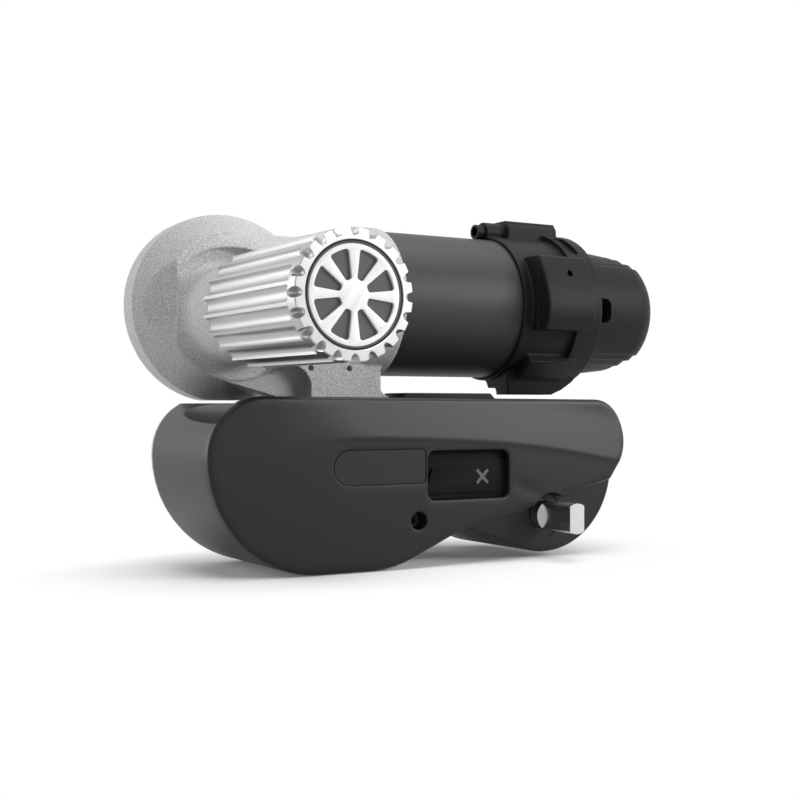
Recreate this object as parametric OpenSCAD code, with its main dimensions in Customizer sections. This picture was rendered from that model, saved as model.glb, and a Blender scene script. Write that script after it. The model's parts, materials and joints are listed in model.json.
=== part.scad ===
// Caravan motor mover: one side's drive unit on its sliding base.
// X runs along the caravan, and the wheel is on the -X side. Y runs inboard, Z is up.
// The origin is the middle of the four chassis bolts, on the back of the mount plate.

/* [Drive roller] */
// Diameter over the roller's teeth
roller_tip_d = 68; // [62:1:74]
// Depth of the round grooves between the teeth
groove_depth = 3.6; // [2.6:0.1:4.2]
// Length of the roller
roller_len = 120; // [110:1:130]
// Length of the boss that carries the roller's front bearing
boss_len = 41; // [38:1:45]
// Number of teeth round the roller
roller_teeth = 20; // [18:1:22]
// Length of the notched flange at the roller's front end
flange_len = 9; // [6:1:14]
// Diameter of the round disc in the roller's face
disc_d = 52; // [46:1:54]
// Width of the dark ring round the disc
face_ring_w = 2; // [1.2:0.1:3]
// Diameter of the roller's shaft
roller_shaft_d = 25; // [22:1:28]
// Distance from the mount centre to the roller's axis, towards the wheel
roller_x = 93; // [90:1:96]
// Height of the roller's axis over the mount centre
roller_z = 102; // [100:1:106]

/* [Gear case] */
// Diameter of the round rim of the gear case
rim_d = 120; // [116:1:126]
// Depth of the rim
rim_t = 16; // [14:1:20]
// Depth of the cone in front of the rim
cone_t = 20; // [18:1:24]
// Diameter of the flat front face inside the cone
face_d = 93; // [86:1:98]
// Thickness of the gear case's back cover
case_cover_t = 16; // [15:1:20]
// Thickness of the gasket under the back cover
gasket_t = 1; // [0.8:0.2:1.6]
// Module of the final gear pair
final_module = 1.5; // [1.4:0.05:1.55]
// Teeth of the pinion on the layshaft
pinion_teeth = 16; // [15:1:16]
// Teeth of the gear on the roller's shaft
final_teeth = 48; // [46:1:48]
// Face width of the final gears
final_w = 8; // [6:0.5:8]
// Module of the worm pair
worm_module = 2; // [1.8:0.1:2]
// Teeth of the worm wheel
wheel_teeth = 24; // [22:1:24]
// Face width of the worm wheel
wheel_w = 12; // [9:1:13]
// Pitch diameter of the worm
worm_d = 17; // [16:0.5:18]
// Diameter of the layshaft
layshaft_d = 12; // [10:1:13]

/* [Motor] */
// Outside diameter of the motor tube
motor_d = 96; // [92:1:98]
// Wall of the motor tube
motor_wall = 4; // [3:0.5:5]
// Length of the motor tube
motor_len = 151; // [148:1:158]
// Height of the motor's axis over the mount centre
motor_z = 114; // [112:1:116]
// Distance from the mount plane to the motor's axis, outboard
motor_y = 5; // [3:1:7]
// Diameter of the armature's shaft
armature_shaft_d = 12; // [10:1:13]
// Gap between the armature and the magnets
air_gap = 0.7; // [0.5:0.1:1]
// Thickness of the magnets
magnet_t = 6.5; // [5:0.5:7]

/* [Clamp ring and end cap] */
// Wall of the plastic ring round the motor's end
ring_wall = 2; // [1.6:0.1:3]
// Length of the ring
ring_len = 63; // [60:1:66]
// Width of the ring's raised collar
collar_w = 20; // [16:1:24]
// Height of the collar over the ring
collar_h = 4; // [2.5:0.5:5]
// Width of the pad on the ring's outboard side
pad_w = 38; // [30:1:40]
// Height of that pad
pad_h = 50; // [42:1:54]
// Length of the end cap
cap_len = 65.5; // [60:0.5:72]
// Wall of the end cap
cap_wall = 3; // [2:0.5:4]
// Height of the end cap's raised band
band_h = 62; // [54:1:68]
// Diameter of the cable inlet
inlet_d = 10; // [9:0.5:11]

/* [Base] */
// Distance from the mount centre to the cover's wheel end
cover_left = 136.4; // [134:0.2:142]
// Distance from the mount centre to the cover's other end
cover_right = 161; // [159:1:168]
// Height of the cover's front rim over the mount centre
cover_top = 51.7; // [51:0.1:53]
// Depth of the cover's belly under the mount centre
cover_bottom = 51; // [50.8:0.2:54]
// Depth of the cover, outboard of the mount plate
cover_depth = 90; // [86:1:96]
// Wall of the cover
cover_wall = 3; // [2.5:0.5:3.5]
// Thickness of the cover's front
front_wall = 4.5; // [4:0.5:5.5]
// Height of the flat deck behind the front rim
deck_z = 47.6; // [47.4:0.1:47.8]
// Thickness of the mount plate
plate_t = 5; // [4:0.5:6]
// Distance between the chassis bolts along the caravan
bolt_x = 140; // [136:1:144]
// Distance between the chassis bolts up the plate
bolt_z = 36; // [34:1:37]
// Thread diameter of the chassis bolts
bolt_d = 10; // [8:1:10]
// Width of the indicator window
window_w = 60; // [54:1:62]
// Height of the indicator window
window_h = 30; // [26:1:31]
// Length of the bare badge plate
badge_w = 61.5; // [50:0.5:62]
// Height of the bare badge plate
badge_h = 20; // [16:1:22]

/* [Slide and spindle] */
// How far the drive unit slides towards the wheel, in teeth of the rack
travel_teeth = 6; // [4:1:6]
// Diameter of the guide rods
rod_d = 12; // [10:1:12]
// Distance between the guide rods
rod_gap = 24; // [23:1:26]
// Height of the upper guide rod over the mount centre
rod_z = 32; // [31:1:33]
// Length of the carriage
carriage_len = 64; // [58:1:66]
// Wall of the carriage's bushes
bush_wall = 2; // [1.5:0.5:2]
// Length of each bush
bush_len = 20; // [16:1:24]
// Module of the rack and its pinion
rack_module = 2; // [1.9:0.05:2.05]
// Teeth of the spindle's pinion
spindle_teeth = 12; // [12:1:12]
// Width of the rack
rack_w = 10; // [8:1:12]
// Diameter of the spindle at its tang
spindle_d = 19; // [17:1:20]
// Width across the tang's two flats
tang_w = 11; // [9:0.5:12]
// Length of the tang
tang_len = 28.5; // [22:0.5:32]
// Diameter of the well round the tang
well_d = 30; // [29:1:32]

/* [Fits] */
// Radial play of running fits
running = 0.05; // [0.03:0.01:0.08]
// Radial play of seated parts
seat = 0.02; // [0.01:0.01:0.04]
// Gap between sliding faces
slip = 0.3; // [0.2:0.1:0.6]

/* [Hidden] */
$fn = 64;
eps = 0.01;
hull_fn = 32;

roller_r = roller_tip_d / 2;
root_r = roller_r - groove_depth;
shaft_r = roller_shaft_d / 2;
roller_bearing_r = shaft_r + 8.5;

rim_r = rim_d / 2;
rim_x = -roller_x + 5;
rim_z = roller_z + 6.5;
rim_back = rim_t - 1;
rim_front = rim_back - rim_t;
face_y = rim_front - cone_t;
roller_back = face_y - boss_len;
roller_front = roller_back - roller_len;
cover_y = rim_back + gasket_t;
case_back = cover_y + case_cover_t;
chord_x = rim_x - 38.5;
case_floor = 49.5;

final_r = final_module * final_teeth / 2;
pinion_r = final_module * pinion_teeth / 2;
wheel_r = worm_module * wheel_teeth / 2;
worm_r = worm_d / 2;
lay_z = motor_z - worm_r - wheel_r;
lay_gap = final_r + pinion_r;
lay_x = -roller_x + sqrt(lay_gap ^ 2 - (roller_z - lay_z) ^ 2);
mesh_angle = atan2(lay_z - roller_z, lay_x + roller_x);
final_y = rim_back - final_w - 2;
cover_inset = 4;
wheel_y = -motor_y - wheel_w / 2;
lay_front = face_y + 1.5;
lay_bush_len = 6.5;

motor_r = motor_d / 2;
bore_r = motor_r - motor_wall;
motor_start = 14;
motor_end = motor_start + motor_len;
magnet_r = bore_r - seat;
core_r = magnet_r - magnet_t - air_gap;
core_x = motor_start + 31;
arm_r = armature_shaft_d / 2;
bearing_x = -8;
bearing_w = 8;
bearing_r = arm_r + 8;
end_plate_t = 6;
// The commutator sits just in front of the rear bearing, and the core fills what is left
comm_len = 20;
comm_r = arm_r + 10;
winding_len = 11;
brush_x = motor_end - 11 - comm_len / 2;
brush_half = 5;
brush_plate_t = 4;
core_len = brush_x - comm_len / 2 - 5 - winding_len - core_x;
bolt_r = 2.5;
bolt_head_r = 4;
bolt_head_l = 2.6;
worm_len = 32;

ring_r = motor_r + ring_wall + 0.1;
ring_x = motor_end + 3 - ring_len;
ring_end = ring_x + ring_len;
collar_r = ring_r + collar_h;
cap_r = motor_r - 3.5;
cap_x = ring_end;

inner_y = -plate_t;
front_y = inner_y - cover_depth;
front_in = front_y + front_wall;
lobe_y = front_y + 10;
rack_pitch = PI * rack_module;
travel = travel_teeth * rack_pitch;
spindle_x = 97;
spindle_z = -24;
spindle_pitch_r = rack_module * spindle_teeth / 2;
rod_y = -31;
rod_r = rod_d / 2;
low_rod_z = rod_z - rod_gap;
bush_r = rod_r + bush_wall;
carriage_right = 8;
carriage_left = carriage_right - carriage_len;
carriage_front = -46;
carriage_back = -14;
carriage_top = 44;
rack_top = low_rod_z - bush_r - 3;
rack_line = spindle_z + spindle_pitch_r;
carriage_bottom = rack_top;
bracket_t = 12;
left_bracket_x = carriage_left - travel - 16 - bracket_t;
right_bracket_x = carriage_right + 36;
arm_front = -32;
nut_h = 8;
bracket_foot = low_rod_z - rod_r - 3;

// The cover's outline seen from outboard, as corners with their radii, anticlockwise
cover_corners = [
    [cover_right - 15, -2.2, 5], [cover_right, 23.6, 16],
    [cover_right - 27, cover_top - 1, 28], [-cover_left, cover_top, 33.8], [-cover_left, -cover_bottom, 68.5],
    [-19, -cover_bottom, 75], [30, 21.5 - cover_bottom, 80], [72, 30.5 - cover_bottom, 40]];
lobe_x = 99;
lobe_z = 7;
lobe_r = 54.8;
lobe_tail = [43, -31];

// Unit vector along v
function unit(v) = v / norm(v);
// Left-hand normal of the step from p to q
function normal(p, q) = let (u = unit(q - p)) [-u.y, u.x];
// Arc points round c, from angle a0 to a1
function arc(c, r, a0, a1, n) = [for (i = [0:n]) let (a = a0 + (a1 - a0) * i / n) c + r * [cos(a), sin(a)]];
// A corner's place once both its edges have moved inwards by d
function moved(p, q, s, d) = let (a = normal(p, q), b = normal(q, s)) q + (a + b) * d / (1 + a * b);
// Arc that rounds corner q between p and s
function rounded_corner(p, q, s, r) =
    let (
        u = unit(p - q), w = unit(s - q), half = acos(u * w) / 2,
        c = q + unit(u + w) * r / sin(half), start = q + u * r / tan(half) - c,
        turn = (180 - 2 * half) * sign(cross(q - p, s - q)),
        a = atan2(start.y, start.x), n = max(2, ceil(abs(turn) / 8)))
    arc(c, r, a, a + turn, n);
// Rounded outline through corners [x, z, radius], moved inwards by d
function outline(corners, d) =
    let (
        n = len(corners), flat = [for (k = corners) [k.x, k.y]],
        at = [for (i = [0:n - 1]) moved(flat[(i + n - 1) % n], flat[i], flat[(i + 1) % n], d)])
    [for (i = [0:n - 1])
        let (
            p = at[(i + n - 1) % n], q = at[i], s = at[(i + 1) % n],
            bend = sign(cross(flat[i] - flat[(i + n - 1) % n], flat[(i + 1) % n] - flat[i])),
            r = max(0.3, corners[i].z - bend * d))
        each rounded_corner(p, q, s, r)];
// The lobe round the spindle, moved inwards by d
function lobe_outline(d) =
    let (c = [lobe_x, lobe_z], side = [cos(-108.8), sin(-108.8)])
    concat([lobe_tail - side * d], arc(c, lobe_r - d, -108.8, -4, 14), [[150 - d, 12], [60, 12]]);
// Involute angle at radius r of a gear with base radius rb
function involute(rb, r) = r <= rb ? 0 : let (a = acos(rb / r)) tan(a) * 180 / PI - a;
// Outline of a spur gear: teeth, module, addendum and dedendum in modules, backlash in mm
function gear(teeth, m, add, ded, play) =
    let (
        rp = m * teeth / 2, rb = rp * cos(20), half = 90 / teeth - play / rp * 90 / PI + involute(rb, rp),
        radii = [rp - ded * m, max(rb, rp - ded * m) + 0.1, rp, rp + add * m])
    [for (i = [0:teeth - 1], side = [-1, 1], k = [0:3])
        let (
            r = radii[side < 0 ? k : 3 - k], a = 360 / teeth * i + side * (half - involute(rb, r)))
        r * [cos(a), sin(a)]];

// Cylinder along X at (y, z)
module bar_x(y, z, x0, x1, r) translate([x0, y, z]) rotate([0, 90, 0]) cylinder(h = x1 - x0, r = r);
// Cylinder along Y at (x, z)
module bar_y(x, z, y0, y1, r) translate([x, y0, z]) rotate([-90, 0, 0]) cylinder(h = y1 - y0, r = r);
// Tube along X at (y, z)
module tube_x(y, z, x0, x1, r, bore) difference() {
    bar_x(y, z, x0, x1, r);
    bar_x(y, z, x0 - 1, x1 + 1, bore);
}
// Tube along Y at (x, z)
module tube_y(x, z, y0, y1, r, bore) difference() {
    bar_y(x, z, y0, y1, r);
    bar_y(x, z, y0 - 1, y1 + 1, bore);
}
// Flat shape drawn in X and Z, from y0 to y1
module slab(y0, y1) translate([0, y1, 0]) rotate([90, 0, 0]) linear_extrude(y1 - y0) children();
// Box between two corners
module block(a, b) translate(a) cube(b - a);
// Solid through outlines of one length, each [y, points], from front to back
module loft(sections) {
    n = len(sections[0][1]);
    last = len(sections) - 1;
    points = [for (s = sections, p = s[1]) [p.x, s[0], p.y]];
    sides = [for (k = [0:last - 1], i = [0:n - 1])
        let (a = k * n, b = a + n, j = (i + 1) % n) [a + i, a + j, b + j, b + i]];
    front = [for (i = [0:n - 1]) n - 1 - i];
    back = [for (i = [0:n - 1]) last * n + i];
    polyhedron(points, concat([front], sides, [back]));
}
// Socket-head screw along +Y from its head's face
module screw_y(x, z, y, head_r, head_l, r, l) {
    difference() {
        bar_y(x, z, y - head_l, y, head_r);
        translate([x, y - head_l - eps, z]) rotate([-90, 0, 0])
            cylinder(h = head_l * 0.6, r = r * 0.9, $fn = 6);
    }
    bar_y(x, z, y - eps, y + l, r);
}

// Base

// Shallow rounded front edge: how far back each step lies, and how far inwards
edge_steps = [[0, 2.6], [1.2, 0.9], [3.2, 0]];
// Slant of the front above its soft crease, and thickness of the rim above the deck
lean = 7;
rim_wall = 7;
module cover_outer() difference() {
    union() {
        loft([for (s = concat(edge_steps, [[cover_depth + 1, 0]]))
            [front_y + s.x, outline(cover_corners, s.y)]]);
        loft([for (s = concat(edge_steps, [[cover_depth, 0]])) [lobe_y + 1.5 * s.x, lobe_outline(1.5 * s.y)]]);
    }
    block([-250, inner_y, -100], [250, 200, 100]);
}
screw_x = -2;
screw_z = -22.7;
screw_head_r = 5;
screw_floor = front_y + 14;
post_y = screw_floor + 3;
window_x = 34;
window_z = 4;
badge_x = 2.5 - badge_w / 2;
badge_z = 10;
badge_gap = 0.8;
recess = 2;
module window_shape(grow) {
    corners = [
        [window_x + window_w / 2 + grow, window_z - window_h / 2 - grow, 5],
        [window_x + window_w / 2 + grow, window_z + window_h / 2 + grow, 5],
        [window_x - window_w / 2 - grow, window_z + window_h / 2 + grow, 5],
        [window_x - window_w / 2 - grow, window_z - window_h / 2 - grow, 5]];
    polygon(outline(corners, 0));
}
module badge_shape(grow) {
    r = badge_h / 2 + grow;
    corners = [
        [badge_x + badge_w / 2 + grow, badge_z - r, 3], [badge_x + badge_w / 2 + grow, badge_z + r, 3],
        [badge_x - badge_w / 2 - grow, badge_z + r, r - 0.05],
        [badge_x - badge_w / 2 - grow, badge_z - r, r - 0.05]];
    polygon(outline(corners, 0));
}
module front_cover() color("#2a2a2c") {
    difference() {
        cover_outer();
        difference() {
            union() {
                slab(front_in, inner_y + 1) polygon(outline(cover_corners, cover_wall));
                slab(lobe_y + cover_wall + 1, inner_y + 1) polygon(lobe_outline(cover_wall));
            }
            block([-200, front_y, deck_z - cover_wall], [200, 10, 100]);
            bar_y(spindle_x, spindle_z, front_y, front_y + 24, well_d / 2 + 3);
            bar_y(screw_x, screw_z, front_y, post_y - slip / 3, screw_head_r + 3);
        }
        block([-200, front_y + rim_wall, deck_z], [200, 10, 100]);
        // the upper part of the front leans back over a soft crease
        translate([0, front_y, 22]) rotate([-lean, 4, 0]) translate([-250, -40, 0]) cube([500, 40, 60]);
        // slot in the deck for the arm of the gear case
        block([-47 - travel, arm_front - 3, deck_z - 10], [carriage_right + 4, carriage_back + 2, 60]);
        slab(front_y - 1, front_in + 1) window_shape(0);
        slab(front_y - 1, front_y + recess) badge_shape(badge_gap);
        bar_y(screw_x, screw_z, front_y - 1, screw_floor, screw_head_r + 0.5);
        bar_y(screw_x, screw_z, front_y, post_y + 1, 3.3);
        bar_y(spindle_x, spindle_z, front_y - 10, well_floor, well_d / 2);
        bar_y(spindle_x, spindle_z, front_y, front_y + 30, spindle_r + 0.7);
        bar_y(spindle_x, spindle_z, well_floor + 2, front_y + 30, spindle_r + 4.5 + seat);
    }
}
module mount_plate() color("#9a9a98") difference() {
    intersection() {
        union() {
            slab(inner_y, 0) polygon(outline(cover_corners, 1));
            slab(inner_y, 0) polygon(lobe_outline(1));
        }
        block([-200, -10, -100], [200, 10, deck_z - 1.6]);
    }
    for (x = [-1, 1], z = [-1, 1]) bar_y(x * bolt_x / 2, z * bolt_z / 2, inner_y - 1, 1, bolt_d / 2);
    bar_y(spindle_x, spindle_z, inner_y - 1, 1, spindle_journal + 2.5 + seat);
}
module weld_nuts() color("#b0b0ae")
    for (x = [-1, 1], z = [-1, 1]) difference() {
        translate([x * bolt_x / 2, inner_y - nut_h, z * bolt_z / 2]) rotate([-90, 0, 0])
            cylinder(h = nut_h, r = bolt_d * 0.92, $fn = 6);
        bar_y(x * bolt_x / 2, z * bolt_z / 2, inner_y - nut_h - 1, 0, bolt_d / 2);
    }
module rod_bracket(x) difference() {
    union() {
        block([x, carriage_front + 3, bracket_foot], [x + bracket_t, inner_y, rod_z + rod_r + 3]);
        block([x - 0.01, inner_y - 8, bracket_foot], [x + bracket_t + 10, inner_y, rod_z + rod_r + 3]);
    }
    for (z = [rod_z, low_rod_z]) bar_x(rod_y, z, x - 1, x + bracket_t + 1, rod_r + seat);
    for (z = [rod_z, low_rod_z]) bar_y(x + bracket_t + 5, z, inner_y - 10, inner_y + 1, 2.5 + seat);
}
module left_rod_bracket() color("#8d8f92") rod_bracket(left_bracket_x);
module right_rod_bracket() color("#8d8f92")
    translate([2 * right_bracket_x + bracket_t, 0, 0]) mirror([1, 0, 0]) rod_bracket(right_bracket_x);
module bracket_screws() color("#c0c0c0")
    for (x = [left_bracket_x + bracket_t + 5, right_bracket_x - 5], z = [rod_z, low_rod_z])
        screw_y(x, z, inner_y - 8, 4, 4, 2.5, 7.5);
module guide_rod(z) bar_x(rod_y, z, left_bracket_x, right_bracket_x + bracket_t, rod_r);
module upper_guide_rod() color("#d5d7da") guide_rod(rod_z);
module lower_guide_rod() color("#d5d7da") guide_rod(low_rod_z);
module badge_plate() color("#232325")
    slab(front_y + recess - 1.5, front_y + recess) badge_shape(0);
module cover_screw() color("#55565a")
    screw_y(screw_x, screw_z, screw_floor, screw_head_r, 5, 3, 22);
module cover_screw_post() color("#8d8f92") difference() {
    bar_y(screw_x, screw_z, post_y, inner_y, 7);
    bar_y(screw_x, screw_z, post_y - 1, post_y + 24, 3 + seat);
}
spindle_journal = 6.5;
spindle_r = spindle_d / 2;
well_floor = front_y + 11;
bush_end = front_y + 25;
module spindle_front_bush() color("#b08d57")
    tube_y(spindle_x, spindle_z, well_floor + 2, bush_end, spindle_r + 4.5, spindle_r + running);
module spindle_rear_bush() color("#b08d57")
    tube_y(spindle_x, spindle_z, inner_y, 0, spindle_journal + 2.5, spindle_journal + running);

// Gear case

boss_r = 30.5;
flare = 6;
arm_right = carriage_right - 0.5;
module case_shell() {
    translate([rim_x, 0, rim_z]) rotate([-90, 0, 0]) rotate_extrude($fn = 96)
        polygon([[0, face_y], [face_d / 2, face_y], [rim_r - 0.8, rim_front - 0.8], [rim_r, rim_front],
            [rim_r, rim_back], [0, rim_back]]);
    hull($fn = hull_fn) {
        bar_y(rim_x, rim_z, face_y + 1, rim_back, face_d / 2);
        bar_x(-motor_y, motor_z, -46, -38, motor_r - 6);
    }
    hull($fn = hull_fn) {
        bar_x(-motor_y, motor_z, -46, -38, motor_r - 6);
        bar_x(-motor_y, motor_z, -2, 4, motor_r + 2);
    }
    bar_x(-motor_y, motor_z, 3, motor_start, motor_r + 2);
    bar_x(-motor_y, motor_z, 3, motor_start + 4, bore_r - seat);
    hull($fn = hull_fn) {
        bar_y(lay_x, lay_z, face_y + 1, rim_back, wheel_r + 8);
        bar_y(lay_x + 20, case_floor + 24, face_y + 1, rim_back, 24);
        bar_y(rim_x, rim_z, face_y + 1, rim_back, rim_r - 12);
    }
}
// Plate-like arm that carries the drive unit down to the carriage
module case_arm() slab(arm_front, face_y + 2) polygon(concat(
    [[arm_right + flare, deck_z + 4.4], [arm_right + 2, deck_z + 6.2], [arm_right, deck_z + 9],
        [arm_right, 72], [arm_right + 5, 84], [-52, 84], [-57, 71.6]],
    arc([-57.5, 56.5], 15, 80, 2, 7),
    [[-42.5, carriage_top], [arm_right, carriage_top], [arm_right, deck_z + 4.4]]));
module gear_housing() color("#b9b9b7") difference() {
    union() {
        difference() {
            union() {
                difference() {
                    case_shell();
                    bar_y(-roller_x, roller_z, roller_back - 10, face_y, roller_r + 8);
                }
                // boss behind the roller, with a hollow fillet at its foot
                translate([-roller_x, 0, roller_z]) rotate([-90, 0, 0]) rotate_extrude() polygon([
                    [0, roller_back + 0.5], [boss_r - 1.2, roller_back + 0.5], [boss_r, roller_back + 1.7],
                    [boss_r, face_y - 7], [boss_r + 1, face_y - 4], [boss_r + 2.8, face_y - 1.9],
                    [boss_r + 5, face_y - 0.5], [boss_r + 8, face_y + 0.1], [0, face_y + 1]]);
            }
            block([-250, -60, -60], [250, 80, case_floor]);
            // room for the back cover
            block([-250, rim_back, 0], [lay_x + wheel_r + 10, 80, 250]);
            // sloped cut at the wheel end of the front face
            translate([chord_x, face_y, 0]) rotate([0, 0, -38]) translate([-60, -60, 0]) cube([60, 60, 300]);
        }
        case_arm();
        block([-43, arm_front, carriage_top], [arm_right, carriage_back, deck_z + 9]);
    }
    // gear chamber, open at the back
    bar_y(-roller_x, roller_z, final_y - 2, rim_back + 1, final_r + final_module + 2);
    bar_y(-roller_x, roller_z, roller_back + 13, rim_back, shaft_r + 4);
    bar_y(lay_x, lay_z, lay_front + lay_bush_len, rim_back + 1, wheel_r + worm_module + 1);
    bar_y(-roller_x, roller_z, roller_back - 1, roller_back + 14, roller_bearing_r + seat);
    bar_y(lay_x, lay_z, lay_front, rim_back, layshaft_d / 2 + 2 + seat);
    bar_x(-motor_y, motor_z, lay_x - worm_len / 2 - 1, lay_x + worm_len / 2 + 3, worm_r + 4);
    bar_x(-motor_y, motor_z, lay_x - worm_len / 2 - 6, motor_start, arm_r + 3);
    bar_x(-motor_y, motor_z, bearing_x, motor_start + 5, bearing_r + seat);
    // bores for the through bolts and the back cover's screws
    for (a = bolt_angles) bolt_at(a) bar_x(0, 0, motor_start - 8, motor_start + 5, bolt_r + seat);
    for (p = case_screws) bar_y(p.x, p.y, rim_back - 9, rim_back + 1, 2.5 + seat);
    // two small cross holes in the arm
    for (x = [-42.6, -15.6]) bar_y(x, 69.7, arm_front - 1, arm_front + 9, 1.75);
}
case_screws = concat(
    [for (a = [70:44:246]) [rim_x, rim_z] + (rim_r - cover_inset - 5.5) * [cos(a), sin(a)]],
    [for (a = [-78, -24]) [lay_x, lay_z] + (wheel_r + 4.6) * [cos(a), sin(a)]]);
bolt_angles = [0, 180];
module bolt_at(a) translate([0, -motor_y, motor_z]) rotate([a, 0, 0]) translate([0, 0, bore_r - 4]) children();
module case_outline(d) intersection() {
    union() {
        translate([rim_x, rim_z]) circle(rim_r - cover_inset - d);
        translate([lay_x, lay_z]) circle(wheel_r + 8 - d);
    }
    translate([-250, case_floor + d]) square([500, 300]);
}
module case_gasket() color("#1d1d1f") difference() {
    slab(rim_back, cover_y) case_outline(0.6);
    bar_y(-roller_x, roller_z, rim_back - 1, cover_y + 1, final_r + final_module + 2);
    bar_y(lay_x, lay_z, rim_back - 1, cover_y + 1, wheel_r + worm_module + 1);
    for (p = case_screws) bar_y(p.x, p.y, rim_back - 1, cover_y + 1, 2.5 + seat);
}
module case_back_cover() color("#b2b2b0") difference() {
    union() {
        slab(cover_y, cover_y + 6) case_outline(0);
        slab(cover_y + 5, case_back) union() {
            translate([-roller_x, roller_z]) circle(30);
            translate([lay_x, lay_z]) circle(14);
        }
        for (a = [0:60:300]) translate([-roller_x, cover_y + 5, roller_z]) rotate([0, a, 0])
            block([28, 0, -2], [37, 5, 2]);
    }
    bar_y(-roller_x, roller_z, cover_y - 1, cover_y + 12, roller_bearing_r + seat);
    bar_y(lay_x, lay_z, cover_y - 1, cover_y + 8, layshaft_d / 2 + 2 + seat);
    for (p = case_screws) bar_y(p.x, p.y, cover_y - 1, case_back, 2.5 + seat);
}
module case_cover_screws() color("#c4c4c4")
    for (p = case_screws) mirror([0, 1, 0]) screw_y(p.x, p.y, -cover_y - 6, 4.2, 4, 2.5, 14);
module carriage() color("#7f8184") difference() {
    block([carriage_left, carriage_front, carriage_bottom], [carriage_right, carriage_back, carriage_top]);
    for (z = [rod_z, low_rod_z]) {
        bar_x(rod_y, z, carriage_left - 1, carriage_right + 1, rod_r + 0.5);
        for (x = [carriage_left - 1, carriage_right - bush_len])
            bar_x(rod_y, z, x, x + bush_len + 1, bush_r + seat);
    }
    for (x = rack_screw_xs) translate([x, rod_y, carriage_bottom - 1]) cylinder(h = 3.7, r = 2 + seat);
    for (x = bolt_xs) {
        translate([x, bolt_y, carriage_bottom - 1]) cylinder(h = 60, r = 3 + seat);
        translate([x, bolt_y, carriage_bottom - 1]) cylinder(h = 7, r = 5.2);
    }
}
bolt_xs = [carriage_left + 26, carriage_right - 26];
bolt_y = carriage_back - 5.8;
module carriage_bolts() color("#55565a")
    for (x = bolt_xs) {
        translate([x, bolt_y, carriage_bottom]) cylinder(h = 6, r = 5);
        translate([x, bolt_y, carriage_bottom + 5])
            cylinder(h = carriage_top - carriage_bottom - 5 - eps, r = 3);
    }
module carriage_bushes() color("#b08d57")
    for (z = [rod_z, low_rod_z], x = [carriage_left, carriage_right - bush_len])
        tube_x(rod_y, z, x, x + bush_len, bush_r, rod_r + running);
rack_left = carriage_left + 6;
rack_right = spindle_x + travel + 6;
module rack() color("#8a8c90") {
    half = rack_pitch / 4 - 0.12;
    tip = 0.85 * rack_module;
    root = 1.2 * rack_module;
    slope = tan(20);
    difference() {
        slab(rod_y - rack_w / 2, rod_y + rack_w / 2) difference() {
            translate([rack_left, rack_line - tip])
                square([rack_right - rack_left, rack_top - rack_line + tip]);
            for (k = [-2:travel_teeth + 2]) translate([spindle_x + (k + 0.5) * rack_pitch, rack_line]) polygon([
                [-(half + 0.24 + (tip + 1) * slope), -tip - 1], [half + 0.24 + (tip + 1) * slope, -tip - 1],
                [half + 0.24 - root * slope, root], [-(half + 0.24 - root * slope), root]]);
        }
        for (x = rack_screw_xs) translate([x, rod_y, rack_line - tip - 1]) {
            cylinder(h = 20, r = 2 + seat);
            cylinder(h = 5, r = 3.6);
        }
    }
}
rack_screw_xs = [rack_left + 8, carriage_right - 10];
module rack_screws() color("#55565a")
    for (x = rack_screw_xs) translate([x, rod_y, rack_line - 0.85 * rack_module + 1]) {
        cylinder(h = 3, r = 3.4);
        cylinder(h = rack_top - rack_line + 0.85 * rack_module + 1.5, r = 2);
    }
slider_y = front_in + slip;
module indicator_slider() color("#1c1c1e") {
    slab(slider_y, slider_y + 3) polygon([
        [window_x + window_w / 2 + 4, window_z - window_h / 2 - 3],
        [window_x + window_w / 2 + 4, window_z + window_h / 2 - 3],
        [window_x - window_w / 2 + 14, window_z + window_h / 2 - 3],
        [window_x - window_w / 2 - 4, window_z - 2],
        [window_x - window_w / 2 - 4, window_z - window_h / 2 - 3]]);
    block([window_x - 26, slider_y + 3 - eps, window_z - 3], [window_x - 10, carriage_front + 3, window_z + 5]);
    block([-14, carriage_front - 3, window_z - 3], [window_x - 10, carriage_front, window_z + 5]);
    for (a = [45, -45]) translate([window_x + 12.5, slider_y, window_z - 1.6]) rotate([0, a, 0])
        translate([-5, -0.2, -0.9]) cube([10, 1, 1.8]);
}
slot_cover_len = 82;
slot_cover_h = 6.9;
module slot_cover() color("#303033") difference() {
    hull() {
        block([arm_right, arm_front - 6, deck_z + slip],
            [arm_right + slot_cover_len - 2, carriage_back + 4, deck_z + slot_cover_h - 2.9]);
        block([arm_right, arm_front - 5, deck_z + slip],
            [arm_right + slot_cover_len, carriage_back + 3, deck_z + slot_cover_h]);
        translate([arm_right + slot_cover_len + 2, (arm_front + carriage_back) / 2, deck_z + slip])
            cylinder(h = slot_cover_h - slip, r = 10, $fn = hull_fn);
    }
    block([arm_right - 1, arm_front - 0.05, deck_z + 4.3],
        [arm_right + flare + 0.1, carriage_back + 5, deck_z + 9]);
}

// Motor

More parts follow.
